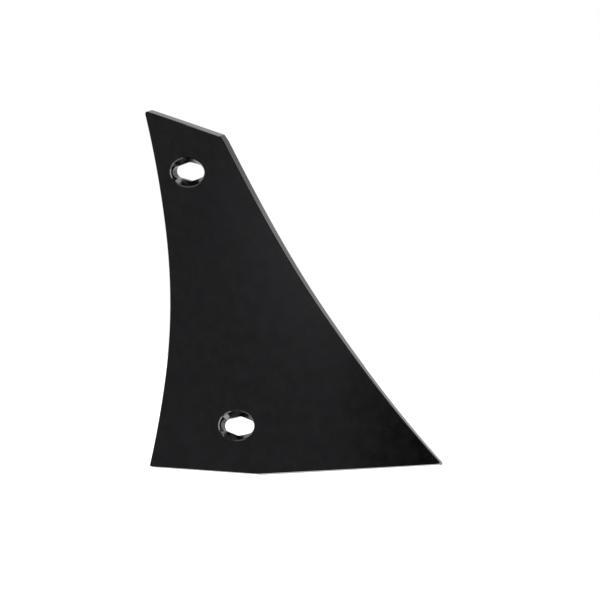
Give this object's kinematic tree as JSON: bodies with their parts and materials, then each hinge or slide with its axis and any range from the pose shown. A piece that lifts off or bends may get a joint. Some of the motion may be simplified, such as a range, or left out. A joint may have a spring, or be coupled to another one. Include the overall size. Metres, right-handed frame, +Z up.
{
  "type": "mouldboard breast",
  "caption": "Hollow pressed steel plate, narrow at the head and broad at the foot, with oval countersunk bolt holes; leads the soil from the share on to a plough's mouldboard.",
  "frame": {"origin": "on the hollow working face, at the axis of the upper bolt hole", "axes": "+X across the plate to the leading edge, +Z up, -Y out of the working face; the mouths of both bolt holes lie in the XZ plane"},
  "size_m": [0.3018, 0.0398, 0.3558],
  "materials": {
    "black_paint": "thin black paint with a satin gloss over smooth rolled steel, on every face"
  },
  "bodies": {
    "root": {"mouldboard_breast": "black_paint"}
  },
  "joints": []
}
